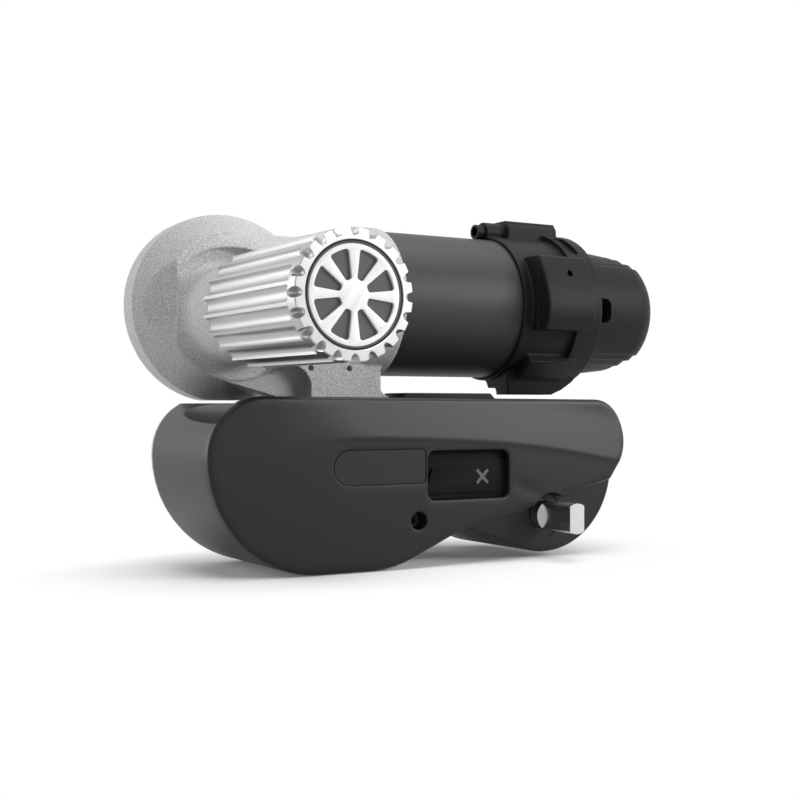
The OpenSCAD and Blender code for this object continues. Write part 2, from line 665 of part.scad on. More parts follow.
module motor_tube() color("#3a3a3c")
    tube_x(-motor_y, motor_z, motor_start, motor_end, motor_r, bore_r);
module magnets() color("#4a4a50")
    for (a = [0:90:270]) translate([core_x - 4, -motor_y, motor_z]) rotate([a + 10, 0, 0]) rotate([0, 90, 0])
        rotate_extrude(angle = 70) translate([magnet_r - magnet_t, 0]) square([magnet_t, core_len + 8]);
module brush_plate() color("#3b2f26") {
    difference() {
        bar_x(-motor_y, motor_z, brush_x + brush_half + 1, brush_x + brush_half + 1 + brush_plate_t,
            bore_r - 0.1);
        bar_x(-motor_y, motor_z, brush_x, brush_x + comm_len, comm_r + 3);
        for (a = bolt_angles) bolt_at(a) bar_x(0, 0, brush_x, brush_x + comm_len, bolt_r + 0.5);
    }
    // walls that hold each brush from below and above
    for (side = [-1, 1], y = [-1, 1])
        block([brush_x - brush_half - 1, -motor_y + side * (comm_r + 13) - 9,
                motor_z + y * (brush_half + 1.3) - 1.2],
            [brush_x + brush_half + 1 + eps, -motor_y + side * (comm_r + 13) + 9,
                motor_z + y * (brush_half + 1.3) + 1.2]);
}
module brushes() color("#2c2c2c")
    for (side = [-1, 1]) difference() {
        block([brush_x - brush_half, -motor_y + side * (comm_r + 8) - 8, motor_z - brush_half],
            [brush_x + brush_half + 0.9, -motor_y + side * (comm_r + 8) + 8, motor_z + brush_half]);
        bar_x(-motor_y, motor_z, brush_x - comm_len / 2, brush_x + comm_len / 2, comm_r + 0.1);
    }
module motor_end_plate() color("#a9a9a7") difference() {
    union() {
        bar_x(-motor_y, motor_z, motor_end - end_plate_t, motor_end, bore_r - seat);
        bar_x(-motor_y, motor_z, motor_end - end_plate_t - 4, motor_end, bearing_r + 3);
    }
    bar_x(-motor_y, motor_z, motor_end - 11, motor_end - 10 + bearing_w, bearing_r + seat);
    bar_x(-motor_y, motor_z, motor_end - 11, motor_end + 1, arm_r + 1);
    for (a = bolt_angles) bolt_at(a) bar_x(0, 0, motor_end - 11, motor_end + 1, bolt_r + seat);
}
module through_bolts() color("#c4c4c4")
    for (a = bolt_angles) bolt_at(a) {
        bar_x(0, 0, motor_start - 7, motor_end, bolt_r);
        bar_x(0, 0, motor_end - eps, motor_end + bolt_head_l, bolt_head_r);
    }
module ball_bearing_x(x, w, r, bore) tube_x(-motor_y, motor_z, x, x + w, r, bore);
module armature_front_bearing() color("#d0d2d6")
    ball_bearing_x(bearing_x, bearing_w, bearing_r, arm_r + running);
module armature_rear_bearing() color("#d0d2d6")
    ball_bearing_x(motor_end - 10, bearing_w, bearing_r, arm_r + running);
module worm_end_bush() color("#b08d57")
    ball_bearing_x(lay_x - worm_len / 2 - 6, 5, arm_r + 3 - seat, arm_r - 1 + running);

// Clamp ring, cable inlet and end cap

ring_bore = motor_r + 0.1;
pad_x = ring_x + 7;
pad_z = motor_z + 8;
inlet_z = motor_z + ring_r + 3.5;
// The pad's outline seen along the motor: how far its face stands off the ring from top to bottom
pad_face = [6, 10.6, 14.2, 16.8, 18];
module clamp_ring() color("#232325") difference() {
    union() {
        bar_x(-motor_y, motor_z, ring_x, ring_end, ring_r);
        bar_x(-motor_y, motor_z, ring_end - collar_w, ring_end, collar_r);
        translate([pad_x, 0, 0]) rotate([90, 0, 90]) linear_extrude(pad_w + 2) polygon(concat(
            [for (k = [0:4]) [-motor_y - ring_r - pad_face[k], pad_z + pad_h * (0.5 - k / 4)]],
            [[-motor_y - 30, pad_z - pad_h / 2], [-motor_y - 30, pad_z + pad_h / 2]]));
        // block on top that covers the cable's way in
        hull($fn = hull_fn) {
            block([ring_x + 14, -motor_y - 11, motor_z + 30],
                [ring_x + 52, -motor_y + 15, motor_z + ring_r + 8]);
            block([ring_x + 14, -motor_y - 7, motor_z + 30],
                [ring_x + 57, -motor_y + 11, motor_z + ring_r + 12]);
        }
        // foot under the ring
        hull($fn = hull_fn) {
            block([ring_x + 6, -motor_y - 22, motor_z - ring_r - 10], [ring_end - 4, -motor_y, motor_z - 44]);
            block([ring_x + 2, -motor_y - 26, motor_z - 42], [ring_end, -motor_y + 4, motor_z - 38]);
        }
        // lower outboard pad
        translate([0, -motor_y, motor_z]) rotate([51, 0, 0])
            block([ring_x + 10, -ring_r - 6, -9], [ring_end - 12.5, -ring_r + 8, 9]);
        bar_x(-motor_y, inlet_z, ring_x - 1, ring_x + 15, inlet_d / 2 + 2);
    }
    bar_x(-motor_y, motor_z, ring_x - 1, ring_end + 1, ring_bore);
    bar_x(-motor_y, inlet_z, ring_x - 2, ring_x + 19, inlet_d / 2 + seat);
    bar_y(pad_x + 22, pad_z + 13, -motor_y - ring_r - 30, -motor_y - ring_r - 2, 2.3);
    // crescent slot in the collar
    translate([0, -motor_y, motor_z]) rotate([32, 0, 0]) translate([ring_end - collar_w - 1, -12, ring_r - 1])
        cube([6, 24, 12]);
}
module cable_inlet() color("#2b2b2d")
    tube_x(-motor_y, inlet_z, ring_x - 7, ring_x + 17, inlet_d / 2, inlet_d / 2 - 1.5);
// Profile of the cap: radius against distance, with a rounded end
function cap_profile(r, l, k) = concat(
    [[0, 0], [r, 0]], [for (a = [0:15:90]) [r - 2 - k + k * cos(a), l - k + k * sin(a)]], [[0, l]]);
module cap_form(grow) {
    translate([cap_x, -motor_y, motor_z]) rotate([0, 90, 0]) {
        rotate_extrude() polygon(cap_profile(cap_r - grow, cap_len - 12 - grow, 15 - grow));
        intersection() {
            rotate_extrude() polygon(cap_profile(cap_r + 2.5 - grow, cap_len - grow, 22 - grow));
            block([-band_h / 2 + grow, -100, -1], [band_h / 2 - grow, 100, 100]);
        }
    }
}
module end_cap() color("#29292b") difference() {
    union() {
        cap_form(0);
        bar_x(-motor_y, motor_z, motor_end, cap_x + 4, ring_bore - seat);
    }
    translate([-eps, 0, 0]) cap_form(cap_wall);
    bar_x(-motor_y, motor_z, motor_end - 1, cap_x + 1, cap_r - cap_wall);
    for (a = bolt_angles) bolt_at(a) bar_x(0, 0, motor_end - 1, cap_x, bolt_head_r + 0.3);
    translate([cap_x + 5, -motor_y - 60, motor_z - 10]) cube([7.3, 30, 17]);
}

// Roller's bearings and seal

module roller_front_bearing() color("#d0d2d6")
    tube_y(-roller_x, roller_z, roller_back + 5, roller_back + 14, roller_bearing_r, shaft_r + running);
module roller_rear_bearing() color("#d0d2d6")
    tube_y(-roller_x, roller_z, cover_y, cover_y + 12, roller_bearing_r, shaft_r - 2.5 + running);
module roller_shaft_seal() color("#1d1d1f")
    tube_y(-roller_x, roller_z, roller_back + 1, roller_back + 4.8, roller_bearing_r, shaft_r + 0.1);
module layshaft_bushes() color("#b08d57") {
    tube_y(lay_x, lay_z, lay_front, lay_front + lay_bush_len, layshaft_d / 2 + 2, layshaft_d / 2 + running);
    tube_y(lay_x, lay_z, cover_y, cover_y + 8, layshaft_d / 2 + 2, layshaft_d / 2 + running);
}

// Roller

groove_r = 4.1;
notch_r = 2.1;
module roller() color("#d9dadc") difference() {
    bar_y(-roller_x, roller_z, roller_front, roller_back, roller_r);
    for (k = [0:roller_teeth - 1])
        translate([-roller_x, 0, roller_z]) rotate([0, 90 + 360 / roller_teeth * k, 0]) {
        bar_y(root_r + groove_r, 0, roller_front + flange_len, roller_back + 1, groove_r);
        bar_y(root_r + notch_r, 0, roller_front - 1, roller_front + flange_len + 1, notch_r);
    }
    bar_y(-roller_x, roller_z, roller_front - 1, roller_front + 6, face_r);
    bar_y(-roller_x, roller_z, roller_front + 5, roller_front + 40, face_r - 4);
    bar_y(-roller_x, roller_z, roller_back - 24, roller_back + 1, face_r - 4);
    bar_y(-roller_x, roller_z, roller_front, roller_back + 1, shaft_r + seat);
}
face_r = disc_d / 2 + face_ring_w;
module roller_shaft() color("#c2c4c8") {
    bar_y(-roller_x, roller_z, roller_front + 20, cover_y, shaft_r);
    bar_y(-roller_x, roller_z, cover_y - eps, cover_y + 11.5, shaft_r - 2.5);
}
module roller_face_ring() color("#1b1b1c")
    tube_y(-roller_x, roller_z, roller_front + 0.6, roller_front + 6, face_r - seat, disc_d / 2 + seat);
module window_wedge() polygon(outline([
    [9, -2.4, 1.6], [disc_d / 2 - 2.4, -6.6, 1.2], [disc_d / 2 - 1.9, 0, 20], [disc_d / 2 - 2.4, 6.6, 1.2],
    [9, 2.4, 1.6]], 0));
module roller_disc() color("#f2f2f2") difference() {
    bar_y(-roller_x, roller_z, roller_front + 0.6, roller_front + 2.4, disc_d / 2);
    for (k = [0:7]) slab(roller_front, roller_front + 5) translate([-roller_x, roller_z]) rotate(22.5 + 45 * k)
        window_wedge();
}
module disc_backing() color("#5b5b5b")
    bar_y(-roller_x, roller_z, roller_front + 2.4, roller_front + 5, disc_d / 2);
module final_gear() color("#8f9194") difference() {
    slab(final_y, final_y + final_w) translate([-roller_x, roller_z]) rotate(mesh_angle)
        polygon(gear(final_teeth, final_module, 0.95, 1.2, 0.1));
    bar_y(-roller_x, roller_z, final_y - 1, final_y + final_w + 1, shaft_r + seat);
    for (a = [30:60:330])
        bar_y(-roller_x + 24 * cos(a), roller_z + 24 * sin(a), final_y - 1, final_y + final_w + 1, 5);
}
module shaft_circlip() color("#6b6d70")
    tube_y(-roller_x, roller_z, final_y - 1.2, final_y, shaft_r + 2.5, shaft_r + seat);

// Layshaft

module layshaft() color("#c2c4c8") bar_y(lay_x, lay_z, lay_front + 0.3, cover_y + 7.5, layshaft_d / 2);
module worm_wheel() color("#b5893e") difference() {
    slab(wheel_y, wheel_y + wheel_w) translate([lay_x, lay_z]) rotate(90 + 180 / wheel_teeth)
        polygon(gear(wheel_teeth, worm_module, 0.5, 0.95, 1.2));
    bar_y(lay_x, lay_z, wheel_y - 1, wheel_y + wheel_w + 1, layshaft_d / 2 + seat);
}
module layshaft_pinion() color("#8f9194") difference() {
    slab(final_y, final_y + final_w) translate([lay_x, lay_z])
        rotate(mesh_angle + 180 + 180 / pinion_teeth) polygon(gear(pinion_teeth, final_module, 0.9, 1.2, 0.1));
    bar_y(lay_x, lay_z, final_y - 1, final_y + final_w + 1, layshaft_d / 2 + seat);
}

// Armature

worm_e = 1.15;
module armature_shaft() color("#c2c4c8") {
    bar_x(-motor_y, motor_z, lay_x + worm_len / 2, motor_end + 4, arm_r);
    bar_x(-motor_y, motor_z, lay_x - worm_len / 2 - 5.5, lay_x + worm_len / 2 + eps, arm_r - 1);
}
module armature_core() color("#77797d") difference() {
    bar_x(-motor_y, motor_z, core_x, core_x + core_len, core_r);
    for (a = [0:30:330]) translate([0, -motor_y, motor_z]) rotate([a, 0, 0])
        block([core_x - 1, -1.5, core_r - 12], [core_x + core_len + 1, 1.5, core_r + 1]);
    bar_x(-motor_y, motor_z, core_x - 1, core_x + core_len + 1, arm_r + seat);
}
module armature_windings() color("#b06a35") {
    for (x = [core_x - winding_len, core_x + core_len])
        tube_x(-motor_y, motor_z, x, x + winding_len, core_r - 3, arm_r + 4);
    for (a = [0:30:330]) translate([0, -motor_y, motor_z]) rotate([a, 0, 0])
        block([core_x - eps, -1.4, core_r - 11.5], [core_x + core_len + eps, 1.4, core_r - 3.5]);
}
module commutator() color("#b5703a")
    tube_x(-motor_y, motor_z, brush_x - comm_len / 2, brush_x + comm_len / 2, comm_r, arm_r + seat);
module worm() color("#9a9ca0") difference() {
    translate([lay_x - worm_len / 2, -motor_y, motor_z]) rotate([0, 90, 0])
        linear_extrude(worm_len, twist = -360 * worm_len / (PI * worm_module),
            slices = round(9 * worm_len / (PI * worm_module)), $fn = 14)
        rotate(-180 * worm_len / (PI * worm_module)) translate([worm_e, 0]) circle(worm_r - 0.1);
    bar_x(-motor_y, motor_z, lay_x - worm_len / 2 - 1, lay_x + worm_len / 2 + 1, arm_r - 1 + seat);
}

// Spindle

pinion_y = rod_y - rack_w / 2 - 1;
pinion_w = rack_w + 2;
module spindle() color("#cfd1d4") {
    intersection() {
        bar_y(spindle_x, spindle_z, front_y + 3 - tang_len, front_y + 4, spindle_r);
        block([spindle_x - tang_w / 2, -300, -100], [spindle_x + tang_w / 2, 0, 100]);
    }
    bar_y(spindle_x, spindle_z, front_y + 3, pinion_y - 8, spindle_r);
    bar_y(spindle_x, spindle_z, bush_end + 0.2, bush_end + 5, spindle_r + 4);
    bar_y(spindle_x, spindle_z, pinion_y - 8 - eps, -0.5, spindle_journal);
}
module spindle_pinion() color("#8f9194") difference() {
    slab(pinion_y, pinion_y + pinion_w) translate([spindle_x, spindle_z]) rotate(90 + 180 / spindle_teeth)
        polygon(gear(spindle_teeth, rack_module, 0.8, 1.15, 0.15));
    bar_y(spindle_x, spindle_z, pinion_y - 1, pinion_y + pinion_w + 1, spindle_journal + seat);
}
module spindle_spacer() color("#6b6d70")
    tube_y(spindle_x, spindle_z, pinion_y + pinion_w, inner_y - 0.2,
        spindle_journal + 2, spindle_journal + seat);

front_cover();
mount_plate();
weld_nuts();
left_rod_bracket();
right_rod_bracket();
bracket_screws();
upper_guide_rod();
lower_guide_rod();
badge_plate();
cover_screw();
cover_screw_post();
spindle_front_bush();
spindle_rear_bush();
gear_housing();
case_gasket();
case_back_cover();
case_cover_screws();
motor_tube();
magnets();
brush_plate();
brushes();
motor_end_plate();
through_bolts();
armature_front_bearing();
armature_rear_bearing();
worm_end_bush();
clamp_ring();
cable_inlet();
end_cap();
roller_front_bearing();
roller_rear_bearing();
roller_shaft_seal();
layshaft_bushes();
carriage();
carriage_bolts();
carriage_bushes();
rack();
rack_screws();
indicator_slider();
slot_cover();
roller();
roller_shaft();
roller_face_ring();
roller_disc();
disc_backing();
final_gear();
shaft_circlip();
layshaft();
worm_wheel();
layshaft_pinion();
armature_shaft();
armature_core();
armature_windings();
commutator();
worm();
spindle();
spindle_pinion();
spindle_spacer();
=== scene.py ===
"""Looks of the caravan motor mover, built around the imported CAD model. Blender 4.5."""
import json
import math

import bmesh
import bpy
from mathutils import Matrix, Vector
from mathutils.geometry import delaunay_2d_cdt


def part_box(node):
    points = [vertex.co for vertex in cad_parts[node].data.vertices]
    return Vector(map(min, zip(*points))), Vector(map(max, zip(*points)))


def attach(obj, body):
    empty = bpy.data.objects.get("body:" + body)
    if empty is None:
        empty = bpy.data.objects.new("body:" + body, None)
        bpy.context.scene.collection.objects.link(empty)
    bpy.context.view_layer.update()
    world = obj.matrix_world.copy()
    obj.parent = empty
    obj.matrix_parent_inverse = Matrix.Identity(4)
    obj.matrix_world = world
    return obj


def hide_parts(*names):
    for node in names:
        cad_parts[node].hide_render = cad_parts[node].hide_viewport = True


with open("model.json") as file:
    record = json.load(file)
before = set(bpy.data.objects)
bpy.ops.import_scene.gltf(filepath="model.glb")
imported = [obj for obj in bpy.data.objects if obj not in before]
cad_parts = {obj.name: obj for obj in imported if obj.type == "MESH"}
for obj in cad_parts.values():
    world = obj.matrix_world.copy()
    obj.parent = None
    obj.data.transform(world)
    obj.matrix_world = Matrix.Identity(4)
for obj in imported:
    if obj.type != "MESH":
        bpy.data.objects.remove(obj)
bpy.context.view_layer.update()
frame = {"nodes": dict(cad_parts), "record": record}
NODES = frame["nodes"]
MM = 0.001


def span(node):
    """A CAD node's box in millimetres."""
    low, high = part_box(node)
    return [v / MM for v in low], [v / MM for v in high]


# Materials


class Shader:
    """Node tree of one procedural material, in the row frame's metres."""

    def __init__(self, name):
        self.mat = bpy.data.materials.new(name)
        self.mat.use_nodes = True
        self.tree = self.mat.node_tree
        self.bsdf = self.tree.nodes["Principled BSDF"]
        self.coord = self.tree.nodes.new("ShaderNodeTexCoord").outputs["Object"]

    def node(self, kind, **values):
        n = self.tree.nodes.new(kind)
        for key, value in values.items():
            n.inputs[key.replace("_", " ")].default_value = value
        return n

    def link(self, a, b):
        self.tree.links.new(a, b)

    def noise(self, scale, detail=3.0, stretch=(1, 1, 1)):
        source = self.coord
        if stretch != (1, 1, 1):
            mapping = self.tree.nodes.new("ShaderNodeMapping")
            mapping.inputs["Scale"].default_value = stretch
            self.link(self.coord, mapping.inputs["Vector"])
            source = mapping.outputs["Vector"]
        n = self.node("ShaderNodeTexNoise", Scale=scale, Detail=detail)
        self.link(source, n.inputs["Vector"])
        return n.outputs["Fac"]

    def ramp(self, value, *stops):
        n = self.tree.nodes.new("ShaderNodeValToRGB")
        ramp = n.color_ramp
        while len(ramp.elements) < len(stops):
            ramp.elements.new(0.5)
        for element, (at, colour) in zip(ramp.elements, stops):
            element.position = at
            element.color = (*colour, 1) if isinstance(colour, tuple) else (colour,) * 3 + (1,)
        self.link(value, n.inputs["Fac"])
        return n.outputs["Color"]

    def mix(self, a, b, factor, blend="MIX"):
        n = self.tree.nodes.new("ShaderNodeMix")
        n.data_type = "RGBA"
        n.blend_type = blend
        if isinstance(factor, float):
            n.inputs["Factor"].default_value = factor
        else:
            self.link(factor, n.inputs["Factor"])
        for key, value in (("A", a), ("B", b)):
            socket = [s for s in n.inputs if s.name == key and s.type == "RGBA"][0]
            if isinstance(value, tuple):
                socket.default_value = (*value, 1)
            else:
                self.link(value, socket)
        return [s for s in n.outputs if s.type == "RGBA"][0]

    def bump(self, *layers):
        """Layers of (value, strength, distance in mm)."""
        normal = None
        for value, strength, distance in layers:
            n = self.node("ShaderNodeBump", Strength=strength, Distance=distance * MM)
            self.link(value, n.inputs["Height"])
            if normal is not None:
                self.link(normal, n.inputs["Normal"])
            normal = n.outputs["Normal"]
        self.link(normal, self.bsdf.inputs["Normal"])

    def set(self, **values):
        for key, value in values.items():
            socket = self.bsdf.inputs[key.replace("_", " ")]
            if isinstance(value, bpy.types.NodeSocket):
                self.link(value, socket)
            elif isinstance(value, tuple):
                socket.default_value = (*value, 1)
            else:
                socket.default_value = value
        return self.mat


def plastic(name, base, rough, grain=0.35, grain_scale=1500, specular=0.3):
    """Moulded plastic: slight tone drift, a fine spark-eroded texture and uneven gloss."""
    s = Shader(name)
    fine = s.noise(grain_scale, 2)
    dark, pale = tuple(c * 0.93 for c in base), tuple(c * 1.07 for c in base)
    drift = s.ramp(s.noise(14, 2), (0.3, dark), (0.7, pale))
    colour = s.mix(drift, s.ramp(fine, (0.3, dark), (0.7, pale)), 0.5)
    rough_map = s.ramp(s.noise(9, 2), (0.3, rough - 0.015), (0.7, rough + 0.015))
    s.bump((fine, grain, 0.05))
    return s.set(Base_Color=colour, Roughness=rough_map, Specular_IOR_Level=specular)


def casting(name, base, rough, speckle):
    """Sand-cast aluminium: coarse grain of light and dark specks over a bumpy skin."""
    s = Shader(name)
    grain = s.noise(1700, 1)
    coarse = s.noise(420, 3)
    low, high = tuple(c * (1 - speckle) for c in base), tuple(min(1, c * (1 + speckle)) for c in base)
    specks = s.ramp(grain, (0.4, low), (0.6, high))
    dull, clear = tuple(c * 0.95 for c in base), tuple(c * 1.04 for c in base)
    cloud = s.ramp(s.noise(30, 3), (0.3, dull), (0.7, clear))
    s.bump((coarse, 0.3, 0.2), (grain, 0.55, 0.18))
    colour = s.mix(specks, cloud, 0.2)
    return s.set(Base_Color=colour, Roughness=rough, Metallic=0.08, Specular_IOR_Level=0.25)


def metal(name, base, rough, stretch=(1, 1, 1), scale=300, wear=0.08, metallic=1.0):
    """Ground or turned metal, with fine lines along the stretched axis and duller patches."""
    s = Shader(name)
    lines = s.noise(scale, 3, stretch)
    patches = s.noise(45, 4)
    low, high = tuple(c * (1 - wear) for c in base), tuple(min(1, c * (1 + wear)) for c in base)
    colour = s.mix(s.ramp(lines, (0.3, low), (0.7, high)), s.ramp(patches, (0.35, low), (0.65, high)), 0.4)
    s.bump((lines, 0.03, 0.01))
    gloss = s.ramp(lines, (0.3, rough * 0.94), (0.7, rough * 1.06))
    return s.set(Base_Color=colour, Roughness=gloss, Metallic=metallic)


ALONG_X, ALONG_Y = (0.04, 1, 1), (1, 0.04, 1)
MATERIALS = {
    "cover_plastic": plastic("moulded_charcoal", (0.012, 0.012, 0.0125), 0.37, 0.12, 1700, 0.24),
    "badge_plastic": plastic("badge_black", (0.016, 0.016, 0.017), 0.26, 0.08),
    "slider_plastic": plastic("slider_black", (0.007, 0.007, 0.0075), 0.6, 0.1, specular=0.06),
    "black_plastic": plastic("ring_black", (0.014, 0.014, 0.0145), 0.5, 0.15, 1300, 0.1),
    "white_plastic": plastic("disc_white", (0.86, 0.86, 0.86), 0.4, 0.08),
    "grey_plastic": plastic("window_grey", (0.1, 0.1, 0.1), 0.5, 0.15, specular=0.2),
    "plate_steel": metal("plate_zinc", (0.36, 0.37, 0.38), 0.42, (1, 1, 1), 90, 0.2, 0.8),
    "bright_steel": metal("steel_ground", (0.62, 0.62, 0.63), 0.26, ALONG_Y, 900, 0.04),
    "dark_steel": metal("steel_blackened", (0.05, 0.05, 0.055), 0.38, (1, 1, 1), 200, 0.2, 0.7),
    "screw_steel": metal("steel_zinc", (0.5, 0.51, 0.52), 0.32, (1, 1, 1), 200, 0.12, 0.9),
    "cast_aluminium": casting("aluminium_sand_cast", (0.46, 0.46, 0.455), 0.6, 0.36),
    "machined_aluminium": metal("aluminium_machined", (0.42, 0.42, 0.425), 0.34, ALONG_Y, 700, 0.03),
    "motor_paint": plastic("motor_black", (0.028, 0.028, 0.029), 0.5, 0.04, 1100, 0.28),
    "magnet_ferrite": plastic("ferrite_dull", (0.05, 0.05, 0.055), 0.6),
    "bronze": metal("bronze_turned", (0.5, 0.34, 0.15), 0.35, ALONG_X, 500, 0.12),
    "copper": metal("copper_drawn", (0.62, 0.3, 0.15), 0.35, ALONG_X, 500, 0.15),
    "rubber": plastic("rubber_black", (0.009, 0.009, 0.009), 0.5, 0.2, specular=0.2),
}
for part in frame["record"]["subparts"]:
    mesh = NODES[part["node"]].data
    mesh.materials.clear()
    mesh.materials.append(MATERIALS[part["material_slot"]])


# Mesh tools


def add(name, mesh, slot, body, replaced=(), sharp=32):
    """Puts a mesh in millimetres into the scene as a piece of the object."""
    mesh.transform(Matrix.Scale(MM, 4))
    finish_mesh(mesh, sharp)
    obj = bpy.data.objects.new(name, mesh)
    bpy.context.scene.collection.objects.link(obj)
    mesh.materials.clear()
    mesh.materials.append(MATERIALS[slot])
    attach(obj, body)
    if replaced:
        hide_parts(*replaced)
    return obj


def finish_mesh(mesh, sharp):
    mesh.validate()
    for polygon in mesh.polygons:
        polygon.use_smooth = True
    mesh.set_sharp_from_angle(angle=math.radians(sharp))


def to_mesh(bm, name="made"):
    bmesh.ops.recalc_face_normals(bm, faces=bm.faces)
    mesh = bpy.data.meshes.new(name)
    bm.to_mesh(mesh)
    bm.free()
    return mesh


def rings(sections, closed_ends=True):
    """Skins rings of equal length, each a list of (x, y, z) in millimetres."""
    bm = bmesh.new()
    rows = [[bm.verts.new(p) for p in section] for section in sections]
    n = len(rows[0])
    for a, b in zip(rows, rows[1:]):
        for i in range(n):
            j = (i + 1) % n
            bm.faces.new((a[i], a[j], b[j], b[i]))
    if closed_ends:
        bm.faces.new(rows[0][::-1])
        bm.faces.new(rows[-1])
    return to_mesh(bm)


def turned(profile, centre, axis, steps=128):
    """Surface of revolution from a profile of (distance along the axis, radius), closed at both ends."""
    rows = []
    for along, radius in profile:
        row = []
        for i in range(steps):
            a = 2 * math.pi * i / steps
            u, v = max(radius, 0.01) * math.cos(a), max(radius, 0.01) * math.sin(a)
            if axis == "X":
                row.append((along, centre[1] + u, centre[2] + v))
            else:
                row.append((centre[0] + u, along, centre[2] + v))
        rows.append(row)
    return rings(rows)


def prism(points, y0, y1, plane="XZ"):
    """Flat outline in X and Z (or Y and Z, along X), between two distances."""
    place = {"XZ": lambda p, t: (p[0], t, p[1]), "YZ": lambda p, t: (t, p[0], p[1])}[plane]
    return rings([[place(p, y0) for p in points], [place(p, y1) for p in points]])


def box_mesh(a, b):
    return prism([(a[0], a[2]), (b[0], a[2]), (b[0], b[2]), (a[0], b[2])], a[1], b[1])


def welded(mesh, reach=0.0005):
    """Merges the vertices that lie closer than reach, in millimetres."""
    bm = bmesh.new()
    bm.from_mesh(mesh)
    bmesh.ops.remove_doubles(bm, verts=bm.verts, dist=reach)
    bm.to_mesh(mesh)
    bm.free()
    return mesh


def copy_of(node):
    """A CAD node's mesh as a copy in millimetres."""
    mesh = NODES[node].data.copy()
    mesh.transform(Matrix.Scale(1 / MM, 4))
    return welded(mesh, 0.001)


def applied(mesh, *modifiers):
    """The mesh after modifiers given as (type, settings)."""
    obj = bpy.data.objects.new("work", mesh)
    bpy.context.scene.collection.objects.link(obj)
    tools = []
    for kind, settings in modifiers:
        modifier = obj.modifiers.new(kind, kind)
        for key, value in settings.items():
            if isinstance(value, bpy.types.Mesh):
                tool = bpy.data.objects.new("tool", value)
                bpy.context.scene.collection.objects.link(tool)
                tools.append(tool)
                value = tool
            setattr(modifier, key, value)
    bpy.context.view_layer.update()
    result = bpy.data.meshes.new_from_object(obj.evaluated_get(bpy.context.evaluated_depsgraph_get()))
    for used in [obj] + tools:
        bpy.data.objects.remove(used)
    return result


def joined(mesh, tool):
    return applied(mesh, ("BOOLEAN", {"operation": "UNION", "object": tool, "solver": "EXACT"}))


def common(mesh, tool):
    return applied(mesh, ("BOOLEAN", {"operation": "INTERSECT", "object": tool, "solver": "EXACT"}))


def cut(mesh, *tools):
    for tool in tools:
        mesh = applied(mesh, ("BOOLEAN", {"operation": "DIFFERENCE", "object": tool, "solver": "EXACT"}))
    return mesh


def softened(mesh, voxel, rounds):
    """Remeshes evenly and smooths, which rounds every edge as on a casting or moulding."""
    return applied(
        mesh,
        ("REMESH", {"mode": "VOXEL", "voxel_size": voxel}),
        ("SMOOTH", {"factor": 0.5, "iterations": rounds}))


def bevelled(mesh, width, segments=3, angle=30):
    return applied(mesh, ("BEVEL", {
        "width": width, "segments": segments, "limit_method": "ANGLE", "angle_limit": math.radians(angle)}))


def smoothstep(a, b, x):
    t = min(1.0, max(0.0, (x - a) / (b - a)))
    return t * t * (3 - 2 * t)


def through(points, x):
    """Height at x of a smooth curve through points given in rising x."""
    x = min(max(x, points[0][0]), points[-1][0])
    k = max(i for i in range(len(points) - 1) if points[i][0] <= x)
    slope = []
    for i in (k, k + 1):
        a, b = points[max(0, i - 1)], points[min(len(points) - 1, i + 1)]
        slope.append((b[1] - a[1]) / (b[0] - a[0]))
    (x0, z0), (x1, z1) = points[k], points[k + 1]
    w = x1 - x0
    t = (x - x0) / w
    return ((2 * t ** 3 - 3 * t ** 2 + 1) * z0 + (t ** 3 - 2 * t ** 2 + t) * w * slope[0]
            + (3 * t ** 2 - 2 * t ** 3) * z1 + (t ** 3 - t ** 2) * w * slope[1])


def offset_loop(points, d):
    """A loop moved inwards by d (the loop runs anticlockwise)."""
    moved = []
    n = len(points)
    for i, q in enumerate(points):
        p, s = Vector(points[i - 1]), Vector(points[(i + 1) % n])
        q = Vector(q)
        a, b = (q - p).normalized(), (s - q).normalized()
        na, nb = Vector((-a.y, a.x)), Vector((-b.y, b.x))
        moved.append(tuple(q + (na + nb) * d / (1 + max(-0.6, na.dot(nb)))))
    return moved


def rounded_outline(corners, step=6):
    """Outline through corners (x, z, radius), anticlockwise, rounded."""
    out = []
    n = len(corners)
    for i in range(n):
        p, q, s = (Vector(corners[j][:2]) for j in ((i - 1) % n, i, (i + 1) % n))
        r = corners[i][2]
        u, w = (p - q).normalized(), (s - q).normalized()
        half = math.acos(max(-1, min(1, u.dot(w)))) / 2
        centre = q + (u + w).normalized() * r / math.sin(half)
        start = q + u * r / math.tan(half) - centre
        turn = (math.pi - 2 * half) * (1 if (q - p).cross(s - q) > 0 else -1)
        a0 = math.atan2(start.y, start.x)
        k = max(2, math.ceil(abs(math.degrees(turn)) / step))
        for t in range(k + 1):
            a = a0 + turn * t / k
            out.append((centre.x + r * math.cos(a), centre.y + r * math.sin(a)))
    return out


def resampled(points, step):
    """Closed loop with points about a step apart, its corners kept.

    Straight runs bulge by a hair, so that no three points lie in one line."""
    out = []
    for p, q in zip(points, points[1:] + points[:1]):
        length = math.dist(p, q)
        if length < 0.05:
            continue
        k = max(1, round(length / step))
        for i in range(k):
            hair = 0.03 * math.sin(math.pi * i / k) / length
            out.append((p[0] + (q[0] - p[0]) * i / k + (q[1] - p[1]) * hair,
                        p[1] + (q[1] - p[1]) * i / k - (q[0] - p[0]) * hair))
    return out


def inside(point, loop):
    x, z = point
    hit = False
    for (x0, z0), (x1, z1) in zip(loop, loop[1:] + loop[:1]):
        if (z0 > z) != (z1 > z) and x < (x1 - x0) * (z - z0) / (z1 - z0) + x0:
            hit = not hit
    return hit


